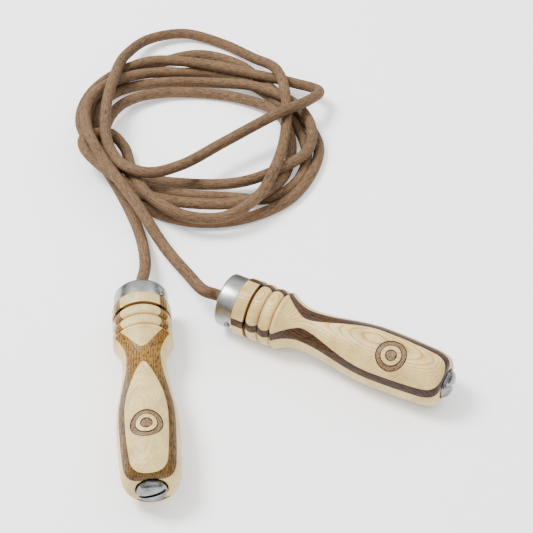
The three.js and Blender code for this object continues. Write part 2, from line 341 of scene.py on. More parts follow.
@dataclass(frozen=True)
class Studio:
    """A white lit table, a surround that is bright above and dim at the horizon, and soft lamps.

    dim and bright are the surround's heights, from 0 at the horizon to 1 overhead, and strengths.
    """

    floor_size: float = 6.0
    floor_colour: str = "FFFFFF"
    floor_roughness: float = 0.9
    floor_sheen: float = 0.1
    floor_glow: float = 0.35
    dim: tuple[float, float] = (0.05, 0.1)
    bright: tuple[float, float] = (0.75, 1.7)
    aim: tuple[float, float, float] = (0.0, 0.1, 0.0)

    def build(self) -> None:
        """Make the floor, the surround and the lamps."""
        self.floor()
        self.surround()
        self.lamp("key_lamp", (-0.9, 0.3, 1.5), 0.6, 50.0)
        self.lamp("fill_lamp", (1.1, 0.9, 1.2), 1.2, 10.0)

    def floor(self) -> None:
        """Lay the table, as one glowing white face."""
        half = self.floor_size / 2
        corners = [(-half, -half, 0), (half, -half, 0), (half, half, 0), (-half, half, 0)]
        mesh = bpy.data.meshes.new("floor")
        mesh.from_pydata(corners, [], [(0, 1, 2, 3)])
        floor = bpy.data.objects.new("floor", mesh)
        bpy.context.scene.collection.objects.link(floor)
        material, tree, shader = blank_material("floor_paper")
        sockets = {"Base Color": colour(self.floor_colour), "Roughness": self.floor_roughness}
        sockets |= {"Specular IOR Level": self.floor_sheen}
        sockets |= {"Emission Color": colour(self.floor_colour), "Emission Strength": self.floor_glow}
        feed(tree, shader, sockets)
        mesh.materials.append(material)

    def surround(self) -> None:
        """Light the world by its height above the horizon."""
        world = bpy.data.worlds.new("surround")
        bpy.context.scene.world = world
        world.use_nodes = True
        tree = world.node_tree
        direction = add_node(tree, "TexCoord")
        axes = add_node(tree, "SeparateXYZ", {"Vector": (direction, "Generated")})
        (low, dim), (high, bright) = self.dim, self.bright
        span = {"From Min": low, "From Max": high, "To Min": dim, "To Max": bright}
        strength = add_node(tree, "MapRange", {**span, "Value": (axes, "Z")})
        sockets = {"Color": colour(self.floor_colour), "Strength": (strength, "Result")}
        feed(tree, tree.nodes["Background"], sockets)

    def lamp(self, name: str, place: tuple[float, float, float], size: float, power: float) -> None:
        """A square area lamp that faces the rope.

        Args:
            name: the lamp's name.
            place: where it stands, in metres.
            size: its side.
            power: its power in watts.
        """
        light = bpy.data.lights.new(name, "AREA")
        light.size = size
        light.energy = power
        holder = bpy.data.objects.new(name, light)
        holder.location = place
        aim = Vector(self.aim) - Vector(place)
        holder.rotation_euler = aim.to_track_quat("-Z", "Y").to_euler()
        bpy.context.scene.collection.objects.link(holder)


# ---- finishes


MULTIPLY = {"data_type": "RGBA", "blend_type": "MULTIPLY"}
WAVE_SPAN = 0.314  # a wave texture of scale 1 has bands this far apart


class Board(Enum):
    """The two kinds of wood in the handles."""

    PALE = "light_wood"
    DARK = "dark_wood"


@dataclass(frozen=True)
class Grain:
    """How a board was sawn: its growth layers' turn round the handle's axis and tilt along it."""

    turn: float
    tilt: float
    contrast: float = 1.0
    marked: bool = False


@dataclass(frozen=True)
class MarksAndShade:
    """Where the wood is dark: painted shade in the narrow groove behind the land, a plain burned ring round
    a dot, and painted shade in the grooves between the beads. Places and radii are in millimetres.
    """

    # Painted shade of the narrow groove behind the land: its place and half width.
    line_place: float = 19.3
    line_half: float = 0.62
    mark_place: float = 105.0
    ring_radius: float = 7.1
    ring_half: float = 1.3
    dot_radius: float = 3.0
    rim: float = 0.3
    depth: float = 0.35
    beads_place: float = 26.9
    beads_half: float = 8.6
    char: Speckle = Speckle(0.6667, 3.0, 0.7)
    # Painted shade between the beads: its colour, the radius where it clears, the radius where it is full,
    # and its strength.
    dust_and_groove_shade: str = "A07C4C"
    groove_shade_clear: float = 16.3
    groove_shade_deep: float = 15.2
    groove_shade_share: float = 0.75
    ash: str = "9A7C55"
    brown: str = "7D6240"
    black: str = "33231A"


@dataclass(frozen=True)
class WoodFinish:
    """Turned and oiled wood, with growth layers nearly flat in each board.

    Maple is cream with fine yellow ring lines. Teak and walnut have dark pores that the turning cuts
    across. early, middle and late are the colours of one year's layer, ring is its thickness in
    millimetres, and streaks is how much of the pores' streak colour shows. Real pores are about
    0.25 mm wide, and they are drawn twice as wide so that they show.
    """

    kind: Board
    name: str
    early: str
    middle: str
    late: str
    ring: float
    streak: str
    streaks: float
    # line: the colour of the painted shade in the narrow groove behind the land.
    line: str
    sway: float = 1.6
    grip_tone: str = "FFFFFF"
    roughness: float = 0.42
    refraction: float = 1.5
    sheen: float = 0.3
    pores: Speckle = Speckle(0.5556, 3.0, 0.62)
    pore_draw: float = 0.16
    patches: Speckle = Speckle(11.765, 2.0, 0.5)
    drift: Speckle = Speckle(14.286, 2.0, 0.5)
    layer_draw: float = 0.3
    mottled: str = "E2DCD6"
    neck_place: float = 50.0
    grip_place: float = 85.0
    marks_and_shade: MarksAndShade = MarksAndShade()

    @property
    def relief(self) -> float:
        """The strength of the pores' relief."""
        return 0.35 if self.kind is Board.DARK else 0.1

    def make(self, suffix: str, handle: HandlePlace, grain: Grain) -> bpy.types.Material:
        """Build the material for one board of one handle.

        Args:
            suffix: what tells this board's material from the others.
            handle: the handle whose axis the grain follows.
            grain: how the board was sawn, and whether the mark is burned in it.

        Returns:
            The material.
        """
        material, tree, shader = blank_material(f"{self.name}_{suffix}")
        local = handle.coordinates(tree)
        tone = self.layer_tone(tree, local, grain)
        drawn = add_node(tree, "Mapping", {"Scale": (1.0, 1.0, self.pore_draw), "Vector": local})
        pores = add_node(tree, "TexNoise", self.pores.at((drawn, "Vector")))
        shown = [(0.38, self.streak), (0.56, "FFFFFF")]
        streak = add_node(tree, "ValToRGB", {"Fac": (pores, "Fac")}, shown)
        inputs = {0: self.streaks, 6: tone, 7: (streak, "Color")}
        streaked = add_node(tree, "Mix", inputs, **MULTIPLY)
        mottle = add_node(tree, "TexNoise", self.patches.at(local))
        shown = [(0.35, self.mottled), (0.65, "FFFFFF")]
        patch = add_node(tree, "ValToRGB", {"Fac": (mottle, "Fac")}, shown)
        inputs = {0: 1.0, 6: (streaked, 2), 7: (patch, "Color")}
        patched = add_node(tree, "Mix", inputs, **MULTIPLY)
        axes = add_node(tree, "SeparateXYZ", {"Vector": local})
        tone = self.grip(tree, (axes, "Z"), (patched, 2))
        tone = self.paint_groove_shade(tree, local, (axes, "Z"), tone)
        tone = self.shade_groove_and_burn_mark(tree, local, (axes, "Z"), tone, grain.marked)
        inputs = {"Strength": self.relief, "Distance": 0.2 * MM, "Height": (pores, "Fac")}
        relief = add_node(tree, "Bump", inputs)
        sockets = {"Base Color": tone, "Normal": (relief, "Normal"), "Roughness": self.roughness}
        feed(tree, shader, {**sockets, "IOR": self.refraction, "Specular IOR Level": self.sheen})
        return material

    def layer_tone(self, tree: bpy.types.NodeTree, local: Link, grain: Grain) -> Link:
        """The growth layers' colour: a saw wave across nearly flat layers that sway gently.

        Where the turning cuts through them the layers draw nested lines, as heights on a map.

        Args:
            tree: the material's node tree.
            local: places in the handle's own axes.
            grain: how the board was sawn.

        Returns:
            The colour.
        """
        rotation = (0.0, math.radians(grain.tilt), math.radians(grain.turn))
        inputs = {"Rotation": rotation, "Vector": local}
        turned = add_node(tree, "Mapping", inputs, vector_type="TEXTURE")
        inputs = {"Scale": (1.0, 1.0, self.layer_draw), "Vector": (turned, "Vector")}
        drawn = add_node(tree, "Mapping", inputs)
        drift = add_node(tree, "TexNoise", self.drift.at((drawn, "Vector")))
        inputs = {0: (drift, "Color"), 1: (self.sway * MM, 0.0, 0.0), 2: (turned, "Vector")}
        bent = add_node(tree, "VectorMath", inputs, operation="MULTIPLY_ADD")
        scale = WAVE_SPAN / (self.ring * MM)
        inputs = {"Scale": scale, "Distortion": 0.0, "Vector": (bent, "Vector")}
        wave = {"wave_type": "BANDS", "bands_direction": "X", "wave_profile": "SAW"}
        layers = add_node(tree, "TexWave", inputs, **wave)
        growth = [(0.0, self.early), (0.45, self.early), (0.75, self.middle), (0.92, self.late)]
        year = add_node(tree, "ValToRGB", {"Fac": (layers, "Fac")}, [*growth, (1.0, self.early)])
        inputs = {0: grain.contrast, 6: colour(self.early), 7: (year, "Color")}
        return add_node(tree, "Mix", inputs, data_type="RGBA"), 2

    def grip(self, tree: bpy.types.NodeTree, along: Link, tone: Link) -> Link:
        """Let the hand's oil darken the wood from the neck back to the grip.

        Args:
            tree: the material's node tree.
            along: the place along the handle.
            tone: the colour to darken.

        Returns:
            The darkened colour.
        """
        span = {"From Min": self.neck_place * MM, "From Max": self.grip_place * MM}
        held = add_node(tree, "MapRange", {**span, "Value": along}, interpolation_type="SMOOTHSTEP")
        inputs = {0: (held, "Result"), 6: tone, 7: colour(self.grip_tone)}
        return add_node(tree, "Mix", inputs, **MULTIPLY), 2

    def paint_groove_shade(self, tree: bpy.types.NodeTree, local: Link, along: Link, tone: Link) -> Link:
        """Paint shade into the grooves between the beads, darker where the surface lies nearer the axis.

        Args:
            tree: the material's node tree.
            local: places in the handle's own axes.
            along: the place along the handle.
            tone: the colour to darken.

        Returns:
            The darkened colour.
        """
        marks_and_shade = self.marks_and_shade
        # Painted shade: the grooves between the beads darken as the surface sinks towards the axis.
        flat = add_node(tree, "VectorMath", {0: local, 1: (1.0, 1.0, 0.0)}, operation="MULTIPLY")
        radius = add_node(tree, "VectorMath", {0: (flat, "Vector")}, operation="LENGTH")
        span = {"From Min": marks_and_shade.groove_shade_deep * MM, "From Max": marks_and_shade.groove_shade_clear * MM}
        inputs = {**span, "To Min": marks_and_shade.groove_shade_share, "To Max": 0.0, "Value": (radius, "Value")}
        groove_shaded = add_node(tree, "MapRange", inputs, interpolation_type="SMOOTHSTEP")
        inputs = {0: along, 1: marks_and_shade.beads_place * MM, 2: marks_and_shade.beads_half * MM}
        beads = add_node(tree, "Math", inputs, operation="COMPARE")
        inputs = {0: (groove_shaded, "Result"), 1: (beads, "Value")}
        share = add_node(tree, "Math", inputs, operation="MULTIPLY")
        inputs = {0: (share, "Value"), 6: tone, 7: colour(marks_and_shade.dust_and_groove_shade)}
        return add_node(tree, "Mix", inputs, **MULTIPLY), 2

    def shade_groove_and_burn_mark(self, tree: bpy.types.NodeTree, local: Link, along: Link, tone: Link, marked: bool) -> Link:
        """Paint shade into the narrow groove behind the land, and darken the burned ring and dot where the
        board carries them.

        Args:
            tree: the material's node tree.
            local: places in the handle's own axes.
            along: the place along the handle.
            tone: the colour to darken.
            marked: True where the board carries the ring and dot.

        Returns:
            The darkened colour.
        """
        marks_and_shade = self.marks_and_shade
        # Painted shade: a dark band over the narrow groove behind the land.
        inputs = {0: along, 1: marks_and_shade.line_place * MM, 2: marks_and_shade.line_half * MM}
        line = add_node(tree, "Math", inputs, operation="COMPARE")
        inputs = {0: (line, "Value"), 6: tone, 7: colour(self.line)}
        tone = add_node(tree, "Mix", inputs, data_type="RGBA"), 2
        if not marked:
            return tone
        inputs = {0: local, 1: (0.0, 1.0, 1.0), 2: (0.0, 0.0, -marks_and_shade.mark_place * MM)}
        flat = add_node(tree, "VectorMath", inputs, operation="MULTIPLY_ADD")
        distance = add_node(tree, "VectorMath", {0: (flat, "Vector")}, operation="LENGTH")
        char = add_node(tree, "TexNoise", marks_and_shade.char.at(local))
        shown = [(0.38, marks_and_shade.black), (0.52, marks_and_shade.brown), (0.75, marks_and_shade.ash)]
        ash = add_node(tree, "ValToRGB", {"Fac": (char, "Fac")}, shown)
        for rim, burned in ((marks_and_shade.rim, colour(marks_and_shade.black)), (-marks_and_shade.rim, (ash, "Color"))):
            inputs = {0: (distance, "Value"), 1: marks_and_shade.ring_radius * MM}
            ring = add_node(tree, "Math", {**inputs, 2: (marks_and_shade.ring_half + rim) * MM}, operation="COMPARE")
            inputs = {0: (distance, "Value"), 1: 0.0, 2: (marks_and_shade.dot_radius + rim) * MM}
            dot = add_node(tree, "Math", inputs, operation="COMPARE")
            inputs = {0: (ring, "Value"), 1: (dot, "Value")}
            both = add_node(tree, "Math", inputs, operation="MAXIMUM")
            inputs = {0: (both, "Value"), 6: tone, 7: burned}
            tone = add_node(tree, "Mix", inputs, data_type="RGBA"), 2
        return tone


@dataclass(frozen=True)
class MetalFinish:
    """Turned metal: fine scratches round its axis from the lathe, with a cloudy wear over them.

    The real scratches are too fine to show, so they are drawn about 0.4 mm apart.
    """

    name: str
    slot: str
    tone: str
    shadow: str
    roughness: float
    scratch: float = 0.05
    scratches: Speckle = Speckle(0.3846, 3.0, 0.7)
    squeeze: float = 0.06
    clouds: Speckle = Speckle(4.762, 4.0, 0.65)
    polish: float = 0.07
    wear: float = 0.1

    def make(self, handle: HandlePlace) -> bpy.types.Material:
        """Build the material.

        Args:
            handle: the handle round whose axis the scratches run.

        Returns:
            The material.
        """
        material, tree, shader = blank_material(f"{self.name}_{handle.side}")
        local = handle.coordinates(tree)
        drawn = add_node(tree, "Mapping", {"Scale": (self.squeeze, self.squeeze, 1.0), "Vector": local})
        scratch = add_node(tree, "TexNoise", self.scratches.at((drawn, "Vector")))
        wear = add_node(tree, "TexNoise", self.clouds.at(local))
        total = add_node(tree, "Math", {0: (scratch, "Fac"), 1: (wear, "Fac")}, operation="ADD")
        shown = [(0.3, self.shadow), (0.62, self.tone)]
        tone = add_node(tree, "ValToRGB", {"Fac": (wear, "Fac")}, shown)
        smooth, rough = self.roughness - self.polish, self.roughness + self.wear
        span = {"From Min": 0.6, "From Max": 1.4, "To Min": smooth, "To Max": rough}
        worn = add_node(tree, "MapRange", {**span, "Value": (total, "Value")})
        inputs = {"Strength": self.scratch, "Distance": 0.2 * MM, "Height": (total, "Value")}
        relief = add_node(tree, "Bump", inputs)
        sockets = {"Metallic": 1.0, "Base Color": (tone, "Color"), "Roughness": (worn, "Result")}
        feed(tree, shader, {**sockets, "Normal": (relief, "Normal")})
        return material


@dataclass(frozen=True)
class DullFinish:
    """Rubber or vulcanised fibre: dark, moulded or punched, with a fine grain and paler dust.

    Both are matte, so their grain is drawn half a millimetre wide to show at all.
    """

    name: str
    slot: str
    tone: str
    dust_and_groove_shade: str
    roughness: float
    grain: Speckle = Speckle(0.5556, 3.0, 0.6)

    def make(self, handle: HandlePlace) -> bpy.types.Material:
        """Build the material.

        Args:
            handle: the handle to which the grain is fixed.

        Returns:
            The material.
        """
        material, tree, shader = blank_material(f"{self.name}_{handle.side}")
        grain = add_node(tree, "TexNoise", self.grain.at(handle.coordinates(tree)))
        shown = [(0.4, self.tone), (0.7, self.dust_and_groove_shade)]
        tone = add_node(tree, "ValToRGB", {"Fac": (grain, "Fac")}, shown)
        relief = add_node(tree, "Bump", {"Strength": 0.3, "Distance": 0.1 * MM, "Height": (grain, "Fac")})
        sockets = {"Base Color": (tone, "Color"), "Normal": (relief, "Normal")}
        feed(tree, shader, {**sockets, "Roughness": self.roughness})
        return material


@dataclass(frozen=True)
class LeatherFinish:
    """Round cord cut from cow hide: matte, brown, with lengthwise fibres and a mottled nap.

    It reads its own map: U is metres along the cord, V is once round it. The nap's fibres are finer
    than a tenth of a millimetre, and they are drawn coarser so that they show.
    """

    name: str = "cut_hide"
    slot: str = "rope_leather"
    pit: str = "38291B"
    dark: str = "513D29"
    base: str = "624A33"
    light: str = "7A5F43"
    roughness: float = 0.82
    refraction: float = 1.45
    sheen: float = 0.35
    girth: float = 0.022
    fibres: Speckle = Speckle(0.9091, 3.0, 0.65)
    fibre_draw: float = 0.2
    nap: Speckle = Speckle(0.6667, 4.0, 0.75)
    patches: Speckle = Speckle(22.222, 2.0, 0.5)
    patch_share: float = 0.15

    def make(self) -> bpy.types.Material:
        """Build the material."""
        material, tree, shader = blank_material(self.name)
        place = add_node(tree, "TexCoord")
        inputs = {"Scale": (self.fibre_draw, self.girth, 1.0), "Vector": (place, "UV")}
        along = add_node(tree, "Mapping", inputs)
        fibres = add_node(tree, "TexNoise", self.fibres.at((along, "Vector")))
        nap = add_node(tree, "TexNoise", self.nap.at((place, "Object")))
        patches = add_node(tree, "TexNoise", self.patches.at((place, "Object")))
        inputs = {0: 0.5, 2: (fibres, "Fac"), 3: (nap, "Fac")}
        hide = add_node(tree, "Mix", inputs, data_type="FLOAT")
        inputs = {0: (patches, "Fac"), 1: self.patch_share, 2: (hide, "Result")}
        shifted = add_node(tree, "Math", inputs, operation="MULTIPLY_ADD")
        shown = [(0.45, self.pit), (0.52, self.dark), (0.58, self.base), (0.7, self.light)]
        tone = add_node(tree, "ValToRGB", {"Fac": (shifted, "Value")}, shown)
        relief = add_node(tree, "Bump", {"Strength": 0.8, "Distance": 0.4 * MM, "Height": (hide, "Result")})
        sockets = {"Base Color": (tone, "Color"), "Normal": (relief, "Normal"), "Roughness": self.roughness}
        feed(tree, shader, {**sockets, "IOR": self.refraction, "Specular IOR Level": self.sheen})
        return material


# ---- the handles


@dataclass(frozen=True)
class Thread:
    """A helical thread along part of one radius."""

    radius: float
    start: float
    end: float
    pitch: float = 1.75
    depth: float = -0.5
    steps: int = 12

    def offset(self, r: np.ndarray, s: np.ndarray, angle: np.ndarray) -> np.ndarray:
        """The radius that the thread adds: a raised cosine of s / pitch - v / turn, faded at its ends."""
        phase = 2 * math.pi * s / self.pitch - angle
        fade = np.clip(np.minimum(s - self.start, self.end - s) / self.pitch, 0.0, 1.0)
        on_thread = np.abs(r - self.radius) < 0.01
        return np.where(on_thread, self.depth * fade * (0.5 + 0.5 * np.cos(phase)), 0.0)

    def rows(self) -> Profile:
        """Profile points dense enough to draw the thread."""
        count = int(self.steps * (self.end - self.start) / self.pitch)
        return [(self.radius, s) for s in np.linspace(self.start, self.end, count)]


@dataclass(frozen=True)
class HandlePlace:
    """Where a handle lies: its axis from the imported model's joint, and how its pieces are turned.

    roll is in degrees about the axis from straight up; the pins and the plug's slot follow it.
    """

    side: str
    roll: float
    pin_turns: tuple[float, float]
    slot_turn: float

    @property
    def joint(self) -> dict:
        """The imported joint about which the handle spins."""
        wanted = f"{self.side}_handle_spin"
        return next(j for j in frame["joints"] if j["name"] == wanted)

    @property
    def origin(self) -> np.ndarray:
        """The middle of the collar's front face."""
        return np.array(self.joint["pos_m"])

    @property
    def axes(self) -> np.ndarray:
        """Rows: the whole cap's outward direction, the direction across it, and the handle's axis."""
        axis = np.array(self.joint["axis"])
        axis = axis / np.linalg.norm(axis)
        roll = math.radians(self.roll)
        across = np.array([axis[1], -axis[0], 0.0])
        out = math.sin(roll) * across + math.cos(roll) * UP
        return np.stack([out, np.cross(axis, out), axis])

    def to_world(self, local: np.ndarray) -> np.ndarray:
        """Take points from the handle's own axes, in millimetres, to the frame, in metres."""
        return self.origin + (local * MM) @ self.axes

    def coordinates(self, tree: bpy.types.NodeTree) -> Link:
        """Object coordinates turned to the handle's own axes, in metres."""
        place = add_node(tree, "TexCoord")
        turned = tuple(Matrix(self.axes.T.tolist()).to_euler("XYZ"))
        inputs = {"Location": self.origin, "Rotation": turned, "Vector": (place, "Object")}
        return add_node(tree, "Mapping", inputs, vector_type="TEXTURE"), "Vector"

    def turn(
        self,
        name: str,
        body: str | None,
        profile: Profile,
        sides: int = METAL_SIDES,
        ring: bool = False,
        thread: Thread | None = None,
    ) -> bpy.types.Object:
        """A surface of revolution about the handle's axis.

        A point is (r cos v, r sin v, s): the profile gives (r, s) and v goes once round. A profile that
        starts and ends on the axis closes with one vertex at each pole.

        Args:
            name: the piece's name.
            body: the body that it rides on, or None for a cutting tool.
            profile: (radius, place along the axis) in millimetres.
            sides: points round the axis.
            ring: True where the profile is a loop that stays off the axis.
            thread: a screw thread that takes its depth off or adds it to the radius.

        Returns:
            The new piece.
        """
        rows = np.array(profile, float)
        angle = turns(sides)
        round_rows = rows if ring else rows[1:-1]
        faces = grid_faces(len(round_rows), sides, wrap_rows=ring)
        r, s = round_rows[:, :1], round_rows[:, 1:]
        if thread is not None:
            r = r + thread.offset(r, s, angle[None, :])
        grid = np.stack([r * np.cos(angle), r * np.sin(angle), np.broadcast_to(s, (len(r), sides))], -1)
        points = grid.reshape(-1, 3)
        if not ring:
            poles = [[0.0, 0.0, rows[0, 1]], [0.0, 0.0, rows[-1, 1]]]
            first, last = len(points), len(points) + 1
            points = np.vstack([points, poles])
            start = np.arange(sides)
            after = (start + 1) % sides
            base = (len(round_rows) - 1) * sides
            low = np.stack([np.full(sides, first), after, start], -1)
            high = np.stack([np.full(sides, last), base + start, base + after], -1)
            faces = faces + low.tolist() + high.tolist()
        piece = new_piece(name, self.to_world(points), faces, body)
        close(piece)
        return piece

    def box(self, x: Sequence, y: Sequence, z: Sequence, turn: float = 0.0) -> bpy.types.Object:
        """A cutting box.

        Args:
            x: its two ends along the whole cap's outward direction, in millimetres.
            y: its two ends across that.
            z: its two ends along the handle's axis.
            turn: how far it is turned about the axis, in radians.

        Returns:
            The box.
        """
        c, s = math.cos(turn), math.sin(turn)
        corners = [(u * c - v * s, u * s + v * c, w) for u in x for v in y for w in z]
        return tool_mesh(self.to_world(np.array(corners)), BOX_FACES)

    def fit(
        self, piece: bpy.types.Object, finish: MetalFinish | DullFinish, node: str, crease: float = CREASE
    ) -> None:
        """Shade a piece, give it a finish made for this handle, and let it stand for its CAD node.

        Args:
            piece: the finished piece.
            finish: its finish.
            node: the CAD node without the handle's side.
            crease: the least turn of a sharp edge, in degrees.
        """
        shade(piece, crease)
        dress(piece, finish.make(self), finish.slot, f"{self.side}_{node}")


@dataclass
class Turning:
    """The wooden part of a handle: five boards glued into a blank, turned and bored.

    A bore is its radius and the place where it ends, or, from behind, where it begins.
    """

    place: HandlePlace
    pale: WoodFinish
    dark: WoodFinish
    marked: str
    figure: float
    length: float = 135.0
    tenon_radius: float = 13.95
    tenon_front: float = 1.9
    land_start: float = 11.25
    land_radius: float = 16.6
    front_edge: tuple[float, float] = (0.5, 0.15)
    back_edge: tuple[float, float, float] = (0.6, 0.15, 0.2)
    slot_start: float = 18.9
    slot_radius: float = 13.4
    slot_width: float = 0.8
    bead_radius: float = 16.7
    bead_floor: float = 15.2
    bead_step: float = 0.6
    bead_pitch: float = 7.6
    bead_power: float = 0.7
    beads: int = 2
    shoulder_rise: float = 1.7
    shoulder_length: float = 3.2
    shoulder_drop: float = 0.7
    neck_radius: float = 12.0
    neck_place: float = 52.0
    belly_radius: float = 16.75
    belly_place: float = 96.0
    heel_radius: float = 15.7
    heel_place: float = 126.0
    end_radius: float = 9.9
    end_pull: tuple[float, float] = (1.0, 0.5)
    core_half: float = 7.6
    waist: float = 0.35
    split: float = 0.3
    glue: float = 0.02
    crease: float = 25.0
    bead_count: int = 18
    shoulder_count: int = 14
    neck_count: int = 26
    belly_count: int = 40
    heel_count: int = 16
    end_count: int = 20
    front_bores: tuple[tuple[float, float], ...] = ((9.8, 8.3), (7.2, 19.3))
    back_bores: tuple[tuple[float, float], ...] = ((6.0, 30.1), (8.2, 116.0), (8.6, 132.3))

    def outline(self) -> Profile:
        """The turned outside from the tenon to the end, as (radius, place) corners and curves."""
        land, begin, slot = self.land_radius, self.land_start, self.slot_start
        bead_start = slot + self.slot_width
        edge, sag = self.front_edge
        worn, dip, reach = self.back_edge
        points = [
            (self.tenon_radius, self.tenon_front),
            (self.tenon_radius, begin),
            (land - edge, begin),
            (land - sag, begin + sag),
            (land, begin + edge),
            (land, slot - worn),
            (land - dip, slot - reach),
            (land - worn, slot),
            (self.slot_radius, slot),
            (self.slot_radius, bead_start),
            (self.bead_floor - self.bead_step, bead_start),
        ]
        for i in range(self.beads):
            points += self.bead(bead_start + i * self.bead_pitch)
        shoulder = bead_start + self.beads * self.bead_pitch
        end = shoulder + self.shoulder_length
        fall = self.bead_radius - self.shoulder_drop
        crest = (2 * self.bead_radius - (self.bead_floor + fall) / 2, shoulder + self.shoulder_rise)
        points += quadratic((self.bead_floor, shoulder), crest, (fall, end), self.shoulder_count)
        neck = (self.neck_radius, self.neck_place)
        middle = (self.neck_radius, (end + self.neck_place) / 2)
        points += quadratic((fall, end), middle, neck, self.neck_count)
        t = np.linspace(0.0, 1.0, self.belly_count + 1)[1:]
        radius = self.neck_radius + (self.belly_radius - self.neck_radius) * (1 - np.cos(math.pi * t)) / 2
        points += list(zip(radius, self.neck_place + (self.belly_place - self.neck_place) * t))
        belly = (self.belly_radius, self.belly_place)
        heel = (self.heel_radius, self.heel_place)
        middle = (self.belly_radius, (self.belly_place + self.heel_place) / 2)
        points += quadratic(belly, middle, heel, self.heel_count)
        pull = (self.heel_radius - self.end_pull[0], self.length - self.end_pull[1])
        points += quadratic(heel, pull, (self.end_radius, self.length), self.end_count)
        return points

    def bead(self, low: float) -> Profile:
        """One round bead: the radius rises from its floor as a half sine to the power of bead_power."""
        t = np.linspace(0.0, 1.0, self.bead_count + 1)[1:]
        rise = np.abs(np.sin(math.pi * t)) ** self.bead_power
        radius = self.bead_floor + (self.bead_radius - self.bead_floor) * rise
        return list(zip(radius, low + self.bead_pitch * t))

    def blank(self, name: str) -> bpy.types.Object:
        """The whole turning with its bores: a chamber in front, the weight's bore behind.

        Args:
            name: the board that will be cut out of it.

        Returns:
            The blank.
        """
        front: list = []
        low = self.tenon_front
        for radius, floor in self.front_bores:
            front = [(radius, floor), (radius, low), *front]
            low = floor
        back: list = []
        high = self.length
        for radius, begin in self.back_bores[::-1]:
            back += [(radius, high), (radius, begin)]
            high = begin
        profile = [(0.0, low), *front, *self.outline(), *back, (0.0, high)]
        return self.place.turn(name, f"{self.place.side}_handle", profile, TURNED_SIDES)

    def build(self) -> None:
        """Turn the blank once for each board and cut that board out of it."""
        side, half = self.place.side, self.glue / 2
        cap_a, cap_b = self.neck_radius - self.waist, self.neck_radius + self.split
        core, far = self.core_half, 2 * self.belly_radius
        neck, end = self.neck_place, 2 * self.length
        top, bottom = Grain(-20.0, 2.5, self.figure), Grain(12.0, -2.0, self.figure)
        boards = [
            ("core", -core, core, 0.0, end, self.pale, Grain(8.0, 1.0, 0.5)),
            ("dark_a", core, cap_a, 0.0, end, self.dark, Grain(70.0, 3.0)),
            ("dark_b", -cap_b, -core, 0.0, end, self.dark, Grain(75.0, -3.0)),
            ("cap_a", cap_a, far, 0.0, end, self.pale, top),
            ("cap_b_front", -far, -cap_b, 0.0, neck, self.pale, bottom),
            ("cap_b_grip", -far, -cap_b, neck, end, self.pale, bottom),
        ]
        for name, low, high, start, stop, finish, grain in boards:
            piece = self.blank(f"{side}_{name}_board")
            cut(piece, self.place.box((low + half, high - half), (-far, far), (start, stop)))
            if name == self.marked:
                self.sink_mark(piece, math.copysign(1.0, high))
                grain = replace(grain, marked=True)
            shade(piece, self.crease)
            material = finish.make(f"{side}_{name}", self.place, grain)
            dress(piece, material, finish.kind.value, f"{side}_{name}")

    def sink_mark(self, piece: bpy.types.Object, facing: float) -> None:
        """Sink the ring and the dot into a board that faces out by 1 or -1."""
        marks_and_shade = self.pale.marks_and_shade
        inner, outer = marks_and_shade.ring_radius - marks_and_shade.ring_half, marks_and_shade.ring_radius + marks_and_shade.ring_half
        for radii in ((inner, outer), (0.0, marks_and_shade.dot_radius)):
            cut(piece, self.mark(facing, *radii), "DIFFERENCE")

    def mark(self, facing: float, inner: float, outer: float) -> bpy.types.Object:
        """The tool that sinks a ring or a dot into the face: a post less the turned inside.

        Args:
            facing: 1 for the side that the whole cap is on, -1 for the other.
            inner: the ring's inner radius, or 0 for a dot.
            outer: its outer radius.

        Returns:
            A closed mesh whose floor follows the turned surface, a burn's depth below it.
        """
        marks_and_shade = self.pale.marks_and_shade
        low, high = marks_and_shade.mark_place - outer - 1.0, marks_and_shade.mark_place + outer + 1.0
        floor = [(r - marks_and_shade.depth, s) for r, s in self.outline() if low < s < high]
        core = [(0.0, floor[0][1]), *floor, (0.0, floor[-1][1])]
        near, far = sorted((0.7 * self.neck_radius * facing, 1.5 * self.belly_radius * facing))
        count = 2 * SMALL_SIDES
        angle = turns(count)
        corners = [(outer, near), (outer, far)]
        if inner > 0.0:
            corners += [(inner, far), (inner, near)]
        rows = []
        for radius, height in corners:
            across, along = radius * np.cos(angle), marks_and_shade.mark_place + radius * np.sin(angle)
            rows.append(np.stack([np.full(count, height), across, along], 1))
        faces = grid_faces(len(rows), count, wrap_rows=inner > 0.0)
        if inner == 0.0:
            faces += [list(range(count)), list(range(count, 2 * count))]
        tool = tool_mesh(self.place.to_world(np.vstack(rows)), faces)
        cut(tool, self.place.turn("inside", None, core, TURNED_SIDES), "DIFFERENCE")
        return tool


